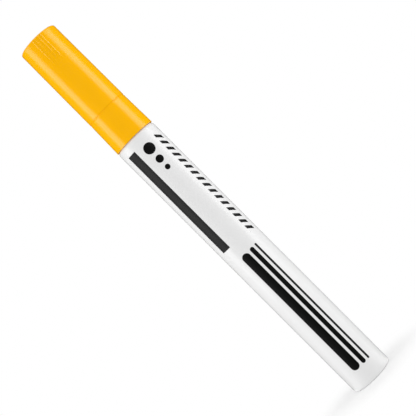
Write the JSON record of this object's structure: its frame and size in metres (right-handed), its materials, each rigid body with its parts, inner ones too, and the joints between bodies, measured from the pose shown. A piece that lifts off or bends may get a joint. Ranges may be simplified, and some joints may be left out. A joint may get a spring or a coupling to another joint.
{
  "type": "paint marker",
  "caption": "Slim capped paint marker: white round barrel with a flat base, pull-off yellow cap, bullet nib on a spring valve, loose mixing ball inside.",
  "frame": {"origin": "centre of the barrel's flat base, on the surface that the marker stands on", "axes": "+Z along the marker's axis from its base to the cap's closed end; -Y is the side that the picture shows"},
  "size_m": [0.014, 0.014, 0.14],
  "materials": {
    "white_lacquer": "satin",
    "yellow_plastic": "satin",
    "white_plastic": "satin",
    "natural_plastic": "satin",
    "plunger_plastic": "satin",
    "black_rubber": "matte",
    "nib_fibre": "matte",
    "spring_steel": "polished",
    "ball_steel": "polished"
  },
  "bodies": {
    "barrel": {"barrel": "white_lacquer", "mouthpiece": "white_plastic", "neck_seal": "black_rubber", "valve_seat": "black_rubber", "valve_cage": "natural_plastic", "valve_spring": "spring_steel"},
    "cap": {"cap": "yellow_plastic", "inner_cap": "natural_plastic"},
    "nib": {"nib": "nib_fibre", "valve_plunger": "plunger_plastic"},
    "mixing_ball": {"mixing_ball": "ball_steel"}
  },
  "joints": [
    {"name": "cap_pull", "type": "slide", "parent": "barrel", "child": "cap", "axis": [0, 0, 1], "range_m": [0, 0.05]},
    {"name": "nib_press", "type": "slide", "parent": "barrel", "child": "nib", "axis": [0, 0, -1], "range_m": [0, 0.002], "stiffness_N_per_m": 900, "springref_m": -0.0015, "deforming": ["valve_spring"]},
    {"name": "ball_travel", "type": "slide", "parent": "barrel", "child": "mixing_ball", "axis": [0, 0, 1], "range_m": [0, 0.079]}
  ]
}
